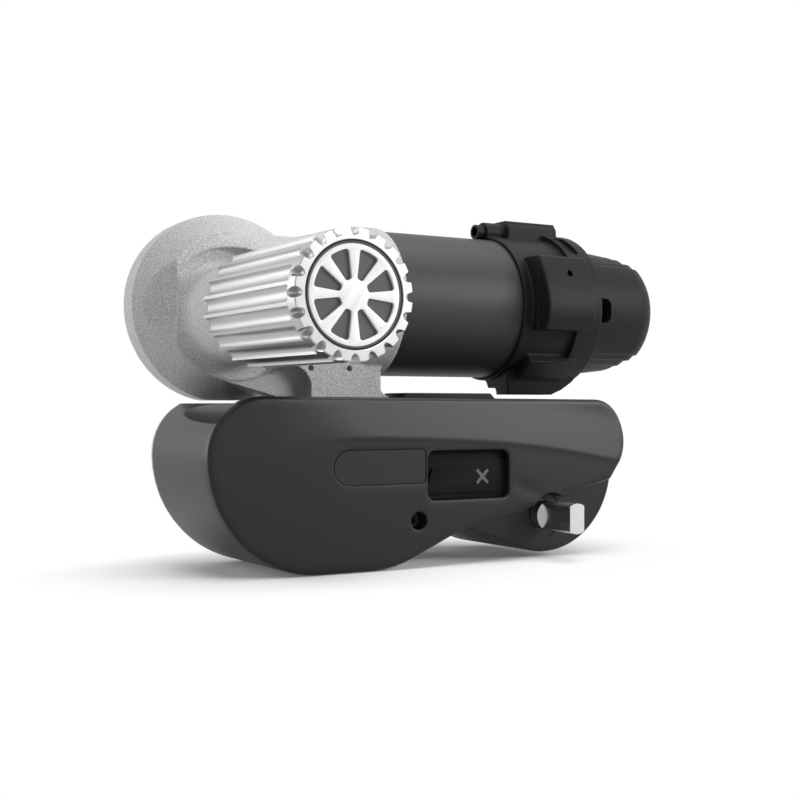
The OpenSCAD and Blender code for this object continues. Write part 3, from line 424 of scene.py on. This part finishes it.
def edge_distance(point, loop):
    p = Vector(point)
    best = 1e9
    for a, b in zip(loop, loop[1:] + loop[:1]):
        a, b = Vector(a), Vector(b)
        t = max(0.0, min(1.0, (p - a).dot(b - a) / max(1e-9, (b - a).length_squared)))
        best = min(best, (p - a - (b - a) * t).length)
    return best


def face_skin(bm, outer, holes, depth, spacing, extra=(), keep_clear=lambda x, z: False):
    """Fills between an outer loop and holes with an even net whose depth is depth(x, z).

    The lines in extra become edges of the net, and it puts no points of its own where keep_clear says so.
    Returns the vertices of each loop, outer first."""
    loops = [outer] + holes
    verts, edges = [], []
    for loop in loops:
        first = len(verts)
        verts += [Vector(p) for p in loop]
        edges += [(first + i, first + (i + 1) % len(loop)) for i in range(len(loop))]
    xs, zs = [p[0] for p in outer], [p[1] for p in outer]
    row = 0
    z = min(zs) + spacing * 0.5
    while z < max(zs):
        x = min(xs) + spacing * (0.5 if row % 2 else 0.25)
        while x < max(xs):
            if inside((x, z), outer) and edge_distance((x, z), outer) > spacing * 0.6:
                if not keep_clear(x, z) and all(
                        not inside((x, z), h) and edge_distance((x, z), h) > spacing * 0.6 for h in holes):
                    verts.append(Vector((x, z)))
            x += spacing
        z += spacing * 0.87
        row += 1
    for line in extra:
        first = len(verts)
        verts += [Vector(p) for p in line]
        edges += [(first + i, first + i + 1) for i in range(len(line) - 1)]
    points, _, faces, origin, _, _ = delaunay_2d_cdt(verts, edges, [], 0, 1e-5)
    made = [bm.verts.new((p.x, depth(p.x, p.y), p.y)) for p in points]
    for face in faces:
        centre = tuple(sum((points[i] for i in face), Vector((0, 0))) / len(face))
        if inside(centre, outer) and not any(inside(centre, h) for h in holes):
            bm.faces.new([made[i] for i in face])
    where = {}
    for new, olds in enumerate(origin):
        for old in olds:
            where[old] = made[new]
    result, first = [], 0
    for loop in loops:
        result.append([where[first + i] for i in range(len(loop))])
        first += len(loop)
    return result


def band(bm, last, row):
    """Faces between two rings of vertices; returns the second ring."""
    for i in range(len(last)):
        j = (i + 1) % len(last)
        bm.faces.new((last[i], last[j], row[j], row[i]))
    return row


def skirt(bm, last, offsets, base_loop, depth):
    """Walls from a ring of vertices through steps of (inset, drop).

    A drop is added to the depth there, or is the depth itself when it is a one-item tuple."""
    for inset, drop in offsets:
        loop = offset_loop(base_loop, inset)
        row = []
        for (x, z), (bx, bz) in zip(loop, base_loop):
            y = drop[0] if isinstance(drop, tuple) else depth(bx, bz) + drop
            row.append(bm.verts.new((x, y, z)))
        last = band(bm, last, row)
    return last


# Front cover, all in millimetres

FRONT, BACK, DECK = -95.0, -5.0, 47.6
BEHIND_FRONT = -84.0   # the walls start here, deeper than any of the front's edge
SPINDLE = (97, -24)
SCREW = (-2, -22.7)
LOBE_X, LOBE_Z, LOBE_R, LOBE_FRONT = 99, 7, 54.8, -85.0
EDGE_R, EDGE_DEEP = 3.0, 2.6
# corners of the front's outline as (x, z, radius), anticlockwise
COVER = [
    (146, -2.2, 5), (163.2, 21.5, 28), (151.5, 50.2, 21), (-136.4, 51.7, 33.8), (-136.4, -51, 68.5),
    (-19, -51, 75), (30, -29.5, 80), (72, -20.5, 40)]
# the crease under the upper band, as (x, z)
CREASE = [
    (-136, 8.0), (-110, 14.0), (-80, 23.0), (-51, 26.9), (0, 26.3), (62.6, 22.8), (110, 17.2), (149.6, 10.5),
    (165, 7.5)]
LEAN = math.tan(math.radians(8.0))
BAND_HEIGHT = 31   # above the crease the band leans back up to here, then stands upright


def crease_z(x):
    return through(CREASE, x)


def cover_depth(x, z):
    """Depth of the cover's front.

    The upper band leans back over a crease with a hollow under it, which fades out to the left, and a soft
    valley runs from the window's corner down to the spindle's well."""
    above = z - crease_z(x)
    share = smoothstep(-96, -30, x)
    soft = (above + math.sqrt(above * above + (0.6 + 9 * (1 - share)) ** 2)) / 2
    soft = BAND_HEIGHT - 2.5 * math.log(1 + math.exp((BAND_HEIGHT - soft) / 2.5))
    y = FRONT + 0.15 + LEAN * soft * (0.3 + 0.7 * share)
    if above < 0:
        y += share * 0.5 * (1 - math.exp(above / 1.8)) * math.exp(above / 8.0)
    aside = (x - 64) * 0.49 + (z - 1) * 0.87
    reach = smoothstep(64, 70, x) * smoothstep(110, 88, x) * smoothstep(-16, -5, z)
    return y + 0.5 * reach * math.exp(-(aside / 4.5) ** 2)


def round_rect(cx, cz, w, h, radii, step=10):
    """Rounded rectangle, anticlockwise; radii from the lower right corner on."""
    signs = ((1, -1), (1, 1), (-1, 1), (-1, -1))
    return rounded_outline([(cx + a * w / 2, cz + b * h / 2, r) for (a, b), r in zip(signs, radii)], step)


def circle_loop(cx, cz, r, n):
    """Circle of n points, anticlockwise."""
    turns = [2 * math.pi * i / n for i in range(n)]
    return [(cx + r * math.cos(a), cz + r * math.sin(a)) for a in turns]


def crease_lines(outline, holes):
    """Lines along the crease, so that its bend shades evenly, broken at the holes and the outline."""
    room = offset_loop(outline, 5.5)
    lines = []
    for off in (1.8, 0.6, -0.5, -1.6, -3.2, -5.2):
        run = []
        for v in range(-24, 64):
            p = (v * 2.5, crease_z(v * 2.5) + off)
            if inside(p, room) and not any(inside(p, h) or edge_distance(p, h) < 1.2 for h in holes):
                run.append(p)
            else:
                lines.append(run)
                run = []
        lines.append(run)
    return [line for line in lines if len(line) > 1]


def near_crease(x, z):
    """Where the crease's own lines stand in for the net's points."""
    return -61 < x < 150 and -6.6 < z - crease_z(x) < 3.2


def quarter(angles, inset, drop):
    """Steps of a rounded edge, as (inset, drop) at angles in degrees."""
    turns = [math.radians(t) for t in angles]
    return [(inset * math.sin(a), drop * (1 - math.cos(a))) for a in turns]


def cover_body():
    """The cover's main shell, one closed solid with a rounded edge, lipped window, badge recess and screw hole."""
    bm = bmesh.new()
    outline = resampled(rounded_outline(COVER, 4), 2.2)
    inner = offset_loop(outline, EDGE_R)
    window = resampled(round_rect(34.2, 4, 59.6, 30, (5, 5, 5, 5)), 2)
    badge = resampled(round_rect(-28.25, 10, 62.4, 20.9, (3.4, 3.4, 10.4, 10.4)), 2)
    screw = circle_loop(*SCREW, 5.5, 36)
    # each hole with the radius of its lip and the depth of its floor
    openings = [(window, 0.9, -80.0), (badge, 0.4, FRONT + 2.0), (screw, 0.7, FRONT + 14.0)]
    holes = [offset_loop(loop, -lip) for loop, lip, _ in openings]
    loops = face_skin(bm, inner, holes, cover_depth, 3.0, crease_lines(outline, holes), near_crease)
    last = skirt(bm, loops[0], quarter((18, 36, 54, 72, 90), -EDGE_R, EDGE_DEEP), inner, cover_depth)
    for y in (BEHIND_FRONT, -70.0, -50.0, -30.0, BACK):
        last = band(bm, last, [bm.verts.new((x, y, z)) for x, z in outline])
    bm.faces.new(last)
    for ring, hole, (_, lip, floor_y) in zip(loops[1:], holes, openings):
        steps = quarter((22, 45, 68, 90), lip, lip) + [(lip, (floor_y,))]
        bm.faces.new(skirt(bm, ring, steps, hole, cover_depth))
    return to_mesh(bm, "cover")


def lobe_outline():
    """Outline of the lobe round the spindle, which reaches inside the front's outline on its upper left."""
    pts = [(35, -28)]
    for i in range(29):
        a = math.radians(-108.8 + (108.8 - 4) * i / 28)
        pts.append((LOBE_X + LOBE_R * math.cos(a), LOBE_Z + LOBE_R * math.sin(a)))
    return pts + [(150, 12), (60, 12)]


def lobe_body():
    """The round lobe behind the lower right of the front, with its own rounded edge."""
    bm = bmesh.new()
    outline = resampled(lobe_outline(), 2.5)
    inner = offset_loop(outline, 1.6)
    loops = face_skin(bm, inner, [], lambda x, z: LOBE_FRONT, 4.0)
    last = skirt(bm, loops[0], quarter((22, 45, 68, 90), -1.6, 1.6), inner, lambda x, z: LOBE_FRONT)
    bm.faces.new(band(bm, last, [bm.verts.new((x, BACK, z)) for x, z in outline]))
    return to_mesh(bm, "lobe")


def ellipsoid(centre, radii):
    turns = [math.pi * i / 24 for i in range(25)]
    profile = [(centre[1] - radii[1] * math.cos(a), math.sin(a)) for a in turns]
    mesh = turned(profile, (0, 0, 0), "Y", 48)
    for v in mesh.vertices:
        v.co.x = centre[0] + v.co.x * radii[0]
        v.co.z = centre[2] + v.co.z * radii[2]
    return mesh


def cylinder_y(x, z, y0, y1, r, steps=64):
    return turned([(y0, r), (y1, r)], (x, 0, z), "Y", steps)


def make_cover():
    """Front cover with its cavity, deck, slot, spindle well, bush pocket and the scoop at its upper left."""
    shell = joined(cover_body(), lobe_body())
    cavity = prism(resampled(offset_loop(rounded_outline(COVER, 6), 3.0), 6), -90.5, 20)
    cavity = cut(
        cavity, box_mesh((-200, -100, DECK - 3), (200, 30, 100)), cylinder_y(*SPINDLE, -100, -71, 18),
        cylinder_y(*SCREW, -100, -77.9, 8), box_mesh((-200, -100, 30), (-110, 30, 100)))
    above_deck = box_mesh((-210, -87.7, DECK), (210, 12, 105))
    slot = box_mesh((-84.7, -35, DECK - 10), (12, -12, 60))
    well = cylinder_y(*SPINDLE, -105, BEHIND_FRONT, 15, 96)
    clearance = cylinder_y(*SPINDLE, -95, -65, 9.85)
    bush_pocket = cylinder_y(*SPINDLE, -82, -65, 14.02)
    scoop = cut(ellipsoid((-131, -93, 50), (13, 86, 13.8)), box_mesh((-200, -200, 0), (0, -91.8, 100)))
    shell = cut(shell, cavity, above_deck, slot, well, clearance, bush_pocket, scoop)
    add("cover_shell", shell, "cover_plastic", "base", ["front_cover"], 28)


make_cover()


def bar(centre, length, width, angle, y0, y1):
    """Rounded bar lying in the XZ plane."""
    cosine, sine = math.cos(math.radians(angle)), math.sin(math.radians(angle))
    pts = round_rect(0, 0, length, width, (0.3,) * 4, 30)
    turned_pts = [(centre[0] + x * cosine - z * sine, centre[1] + x * sine + z * cosine) for x, z in pts]
    return prism(turned_pts, y0, y1)


def make_slider():
    """The slider behind the window, with its notch, groove, a step behind its upper edge, and its cross."""
    mesh = cut(copy_of("indicator_slider"), box_mesh((-60, -99, -40), (90, -87.1, 60)))
    plate = prism([(68, -14), (68, 13.2), (2, 13.2), (2, -14)], -90.0, -87.0)
    notch = prism([(8.4, 8.3), (10.4, 8.3), (6.0, -4.5), (3.0, -4.5)], -93, -84)
    plate = cut(plate, notch, box_mesh((0, -91, -8.3), (66, -89.4, -7.8)))
    step = prism([(68, 12), (68, 21), (2, 21), (2, 12)], -88.9, -87.0)
    mesh = bevelled(joined(joined(mesh, plate), step), 0.2, 2)
    add("window_slider", mesh, "slider_plastic", "drive_unit", ["indicator_slider"])
    cross = joined(*(bar((46.5, 2.4), 11.6, 2.0, angle, -90.4, -89.6) for angle in (45, -45)))
    add("slider_cross", bevelled(cross, 0.15, 2), "grey_plastic", "drive_unit")


make_slider()

# Roller

ROLLER_X, ROLLER_Z, ROLLER_R = -93.0, 102.0, 34.0
ROLLER_FRONT, ROLLER_LONG = -182.0, 120.0
TEETH = 20
GROOVE_HALF, GROOVE_DEEP = 4.35, 3.0
NOTCH_HALF, NOTCH_DEEP = 2.7, 4.0


def roller_radius(angle, y):
    """Radius of the roller's skin at an angle (radians) and a distance behind its front end."""
    pitch = 2 * math.pi / TEETH
    off = (angle + pitch / 2) % pitch - pitch / 2
    across = abs(off) * ROLLER_R
    groove = 0.0
    if across < GROOVE_HALF:
        groove = GROOVE_DEEP * math.sqrt(1 - (across / GROOVE_HALF) ** 2)
    shallow = groove * smoothstep(8.5, 13.5, y)
    notch = 0.0
    if across < NOTCH_HALF:
        side = math.sqrt(1 - (across / NOTCH_HALF) ** 2)
        notch = NOTCH_DEEP * side * (1 - smoothstep(7.6 * side - 1.0, 7.6 * side + 1.6, y))
    edge = 0.6 * (1 - smoothstep(0, 0.6, y)) + 0.5 * smoothstep(ROLLER_LONG - 0.6, ROLLER_LONG, y)
    return ROLLER_R - max(shallow, notch) - edge


def ring_row(radius, y, steps):
    """Ring about the roller's axis, y behind its front; the radius is a number or a function of the angle."""
    row = []
    for i in range(steps):
        a = 2 * math.pi * i / steps
        r = radius(a) if callable(radius) else radius
        row.append((ROLLER_X + r * math.cos(a), ROLLER_FRONT + y, ROLLER_Z + r * math.sin(a)))
    return row


def make_roller():
    """Ribbed roller with its scooped front, hollow at both ends."""
    steps = TEETH * 34
    ys = [
        0, 0.25, 0.6, 2, 4, 5, 5.8, 6.6, 7.4, 8.2, 9, 10, 11, 12, 13, 14, 16, 25, 50, 80, 105, 118, 119.4, 120]
    sections = [ring_row(r, y, steps) for r, y in (
        (12.6, 45.0), (25.0, 44.0), (25.0, 6.0), (28.0, 5.9), (28.0, 0.3), (28.3, 0.0))]
    for y in ys:
        sections.append(ring_row(lambda a, y=y: roller_radius(a, y), y, steps))
    sections += [ring_row(r, y, steps) for r, y in ((24.5, 120.0), (24.0, 119.5), (24.0, 96.0), (12.6, 95.0))]
    mesh = rings(sections + [sections[0]], closed_ends=False)
    add("ribbed_roller", welded(mesh), "machined_aluminium", "roller_unit", ["roller"], 30)


def make_disc():
    """Disc with eight rounded windows, and the fine grey line round it."""
    disc = cylinder_y(ROLLER_X, ROLLER_Z, ROLLER_FRONT + 0.6, ROLLER_FRONT + 2.4, 26, 144)
    wedge = rounded_outline(
        [(8.0, -1.8, 1.7), (22.8, -6.0, 1.5), (23.5, 0.0, 26.0), (22.8, 6.0, 1.5), (8.0, 1.8, 1.7)], 10)
    for k in range(8):
        a = math.radians(22.5 + 45 * k)
        c, s = math.cos(a), math.sin(a)
        window = [(ROLLER_X + x * c - z * s, ROLLER_Z + x * s + z * c) for x, z in wedge]
        disc = cut(disc, prism(window, ROLLER_FRONT - 2, ROLLER_FRONT + 4))
    add("windowed_disc", bevelled(disc, 0.2, 2), "white_plastic", "roller_unit", ["roller_disc"])
    profile = [(26.1, 0.9), (26.2, 0.45), (26.9, 0.4), (27.0, 0.9), (27.0, 2), (26.1, 2), (26.1, 0.9)]
    line = rings([ring_row(r, y, 144) for r, y in profile], closed_ends=False)
    add("disc_line", welded(line), "grey_plastic", "roller_unit")


make_roller()
make_disc()

# Castings and ring

MOTOR_Y, MOTOR_Z = -5.0, 114.0
CROWN_FROM = 108.5
CAP_X = 168.0


def make_case():
    """Gear case with a small flare at its arm's foot, rounded as a casting is, with two small holes."""
    foot = [(17.5, 48), (15.1, 51.3), (10.5, 53), (6.8, 55.8), (5.2, 60), (3.5, 60), (3.5, 48)]
    case = softened(joined(copy_of("gear_housing"), prism(foot, -31.8, -27)), 0.8, 1)
    for v in case.vertices:
        if v.co.z > CROWN_FROM:
            # the casting's crown is a little flatter than a full circle
            v.co.z -= (v.co.z - CROWN_FROM) * 0.045 * (1 - smoothstep(-40, -8, v.co.x))
    case = cut(case, *(cylinder_y(x, 69.7, -40, -23, 1.75, 32) for x in (-42.6, -15.6)))
    add("cast_case", case, "cast_aluminium", "drive_unit", ["gear_housing"], 60)


make_case()


def make_lid():
    """Lid over the slot's right part, with sloped ends."""
    low, high = span("slot_cover")
    side = prism([(17.5, low[2]), (96, low[2]), (89, high[2]), (23, high[2])], low[1], high[1])
    add("slot_lid", bevelled(side, 0.5, 2), "black_plastic", "drive_unit", ["slot_cover"])


make_lid()


def make_ring():
    """Clamp ring with a smooth domed pad, a rounded block on top and a dark slot in its collar."""
    axis = (0, MOTOR_Y, MOTOR_Z)
    dome = [
        (0, 5.0), (0.15, 9.4), (0.3, 12.6), (0.45, 15.2), (0.6, 16.9), (0.72, 17.4), (0.84, 16.8), (0.93, 15.0),
        (1.0, 12.0)]
    pad = [(-55.1 - through(dome, k / 48), 147.0 - 50.0 * k / 48) for k in range(49)]
    pad = [(-35.0, 147.0)] + pad + [(-35.0, 97.0)]
    mesh = cut(copy_of("clamp_ring"), box_mesh((104, -90, 95), (160, -59.3, 149)),
               box_mesh((100, -13, 40), (170, 40, 58.6)))
    mesh = joined(mesh, bevelled(prism(pad, 112.5, 151.5, "YZ"), 1.2, 3, 50))
    foot_end = [
        (141, 50), (150, 54.6), (157, 57.5), (163.5, 61.9), (169, 66.5), (175, 66.5), (175, 45), (141, 45)]
    mesh = cut(mesh, prism(foot_end, -60, -2))
    collar = turned([(147.9, 54.1), (168.0, 54.1)], axis, "X")
    collar = cut(collar, turned([(140, 48.2), (175, 48.2)], axis, "X"))
    slot = box_mesh((149.5, -12.5, 50.6), (159.5, 12.5, 70))
    slot.transform(Matrix.Translation(axis) @ Matrix.Rotation(math.radians(32), 4, "X"))
    block = prism(round_rect(141, 168.5, 44, 14.5, (1.5, 5.5, 1.5, 1.5)), -14, 8)
    mesh = joined(cut(joined(mesh, collar), slot), bevelled(block, 0.8, 2, 50))
    hole = cylinder_y(134, 135, -90, -57, 2.3, 32)
    cable_bore = turned([(100, 3.5), (121, 3.5)], (0, MOTOR_Y, 167.6), "X", 48)
    return cut(softened(mesh, 0.6, 2), hole, cable_bore)


add("motor_ring", make_ring(), "black_plastic", "drive_unit", ["clamp_ring"], 60)


def cap_round(radius, length, soft):
    """Solid along the motor's axis with a rounded far end."""
    profile = [(CAP_X - 3, radius + 2), (CAP_X, radius + 2)]
    for t in range(0, 91, 9):
        a = math.radians(t)
        profile.append((CAP_X + length - soft + soft * math.sin(a), radius - 2 - soft + soft * math.cos(a)))
    return turned(profile, (0, MOTOR_Y, MOTOR_Z), "X", 144)


def make_cap():
    """End cap with three stepped bands, a slot and the upright in it."""
    body = cap_round(44.4, 52.5, 15)
    for half, extra, length, soft in ((38.5, 0.8, 56.0, 18), (34.7, 1.65, 60.5, 20), (31.0, 2.5, 65.5, 25)):
        height = box_mesh((CAP_X - 10, -100, MOTOR_Z - half), (CAP_X + 90, 100, MOTOR_Z + half))
        body = joined(body, common(cap_round(44.4 + extra, length, soft), height))
    slot = prism(round_rect(CAP_X + 6.7, 112.5, 13.4, 17, (5, 5, 0.5, 0.5)), -70, -38)
    upright = box_mesh((CAP_X + 7, -46, 105), (CAP_X + 8.2, -37, 117))
    body = joined(cut(softened(body, 0.6, 2), slot), upright)
    add("motor_cap", body, "black_plastic", "drive_unit", ["end_cap"], 60)


make_cap()

# Stage, light, camera

FLOOR_Z, FLOOR_HALF = -51.3, 3000
floor_mesh = box_mesh((-FLOOR_HALF, -FLOOR_HALF, FLOOR_Z - 20), (FLOOR_HALF, FLOOR_HALF, FLOOR_Z))
floor_mesh.transform(Matrix.Scale(MM, 4))
floor = bpy.data.objects.new("floor", floor_mesh)
bpy.context.scene.collection.objects.link(floor)


def seen_rays(tree):
    """1 for camera, glossy and transmission rays, which see the plain white background."""
    path = tree.nodes.new("ShaderNodeLightPath")
    value = path.outputs["Is Camera Ray"]
    for name in ("Is Glossy Ray", "Is Transmission Ray"):
        most = tree.nodes.new("ShaderNodeMath")
        most.operation = "MAXIMUM"
        tree.links.new(value, most.inputs[0])
        tree.links.new(path.outputs[name], most.inputs[1])
        value = most.outputs[0]
    return value


def floor_material():
    """Pale floor that keeps the object's shadow close by and turns plain white further off."""
    s = Shader("floor_white")
    s.set(Base_Color=(0.9, 0.9, 0.9), Roughness=0.9, Specular_IOR_Level=0.0)
    tree = s.tree
    mapping = tree.nodes.new("ShaderNodeMapping")
    mapping.inputs["Location"].default_value = (0.0, 0.4, 0.0)
    mapping.inputs["Scale"].default_value = (4.4, 8.0, 0.0)
    s.link(s.coord, mapping.inputs["Vector"])
    length = tree.nodes.new("ShaderNodeVectorMath")
    length.operation = "LENGTH"
    s.link(mapping.outputs["Vector"], length.inputs[0])
    far = s.ramp(length.outputs["Value"], (0.5, 0.1), (1.0, 1.0))
    share = tree.nodes.new("ShaderNodeMath")
    share.operation = "MULTIPLY"
    s.link(far, share.inputs[0])
    s.link(seen_rays(tree), share.inputs[1])
    glow = tree.nodes.new("ShaderNodeEmission")
    mixer = tree.nodes.new("ShaderNodeMixShader")
    s.link(share.outputs[0], mixer.inputs[0])
    s.link(s.bsdf.outputs[0], mixer.inputs[1])
    s.link(glow.outputs[0], mixer.inputs[2])
    s.link(mixer.outputs[0], tree.nodes["Material Output"].inputs["Surface"])
    return s.mat


floor_mesh.materials.append(floor_material())

WORLD_LIGHT = 0.14
world = bpy.data.worlds.new("studio")
world.use_nodes = True
bpy.context.scene.world = world
tree = world.node_tree
tree.nodes.clear()
mixer = tree.nodes.new("ShaderNodeMixShader")
tree.links.new(seen_rays(tree), mixer.inputs[0])
for socket, strength in ((1, WORLD_LIGHT), (2, 1.0)):
    white = tree.nodes.new("ShaderNodeBackground")
    white.inputs["Color"].default_value = (1, 1, 1, 1)
    white.inputs["Strength"].default_value = strength
    tree.links.new(white.outputs[0], mixer.inputs[socket])
tree.links.new(mixer.outputs[0], tree.nodes.new("ShaderNodeOutputWorld").inputs[0])


def lamp(name, at, target, size_x, size_y, power):
    data = bpy.data.lights.new(name, "AREA")
    data.shape = "RECTANGLE"
    data.size, data.size_y = size_x, size_y
    data.energy = power
    obj = bpy.data.objects.new(name, data)
    bpy.context.scene.collection.objects.link(obj)
    obj.location = at
    obj.rotation_euler = (Vector(target) - Vector(at)).to_track_quat("-Z", "Y").to_euler()


lamp("key_top", (0.1, -0.3, 1.3), (0, -0.05, 0.08), 1.4, 0.8, 15)
lamp("front_soft", (1.15, -1.25, 0.62), (0, -0.05, 0.04), 1.0, 0.55, 20)
lamp("left_back", (-1.05, 0.85, 0.4), (-0.1, 0, 0.08), 0.6, 0.9, 8)

camera_data = bpy.data.cameras.new("camera")
camera_data.lens = 57.375
camera_data.sensor_width = 36
camera_data.shift_y = 0.0075
camera = bpy.data.objects.new("camera", camera_data)
camera.location = (-0.400, -0.745, 0.046)
camera.rotation_euler = (math.radians(90), 0, math.radians(-30.6))
bpy.context.scene.collection.objects.link(camera)
bpy.context.scene.camera = camera

scene = bpy.context.scene
scene.view_settings.view_transform = "Standard"
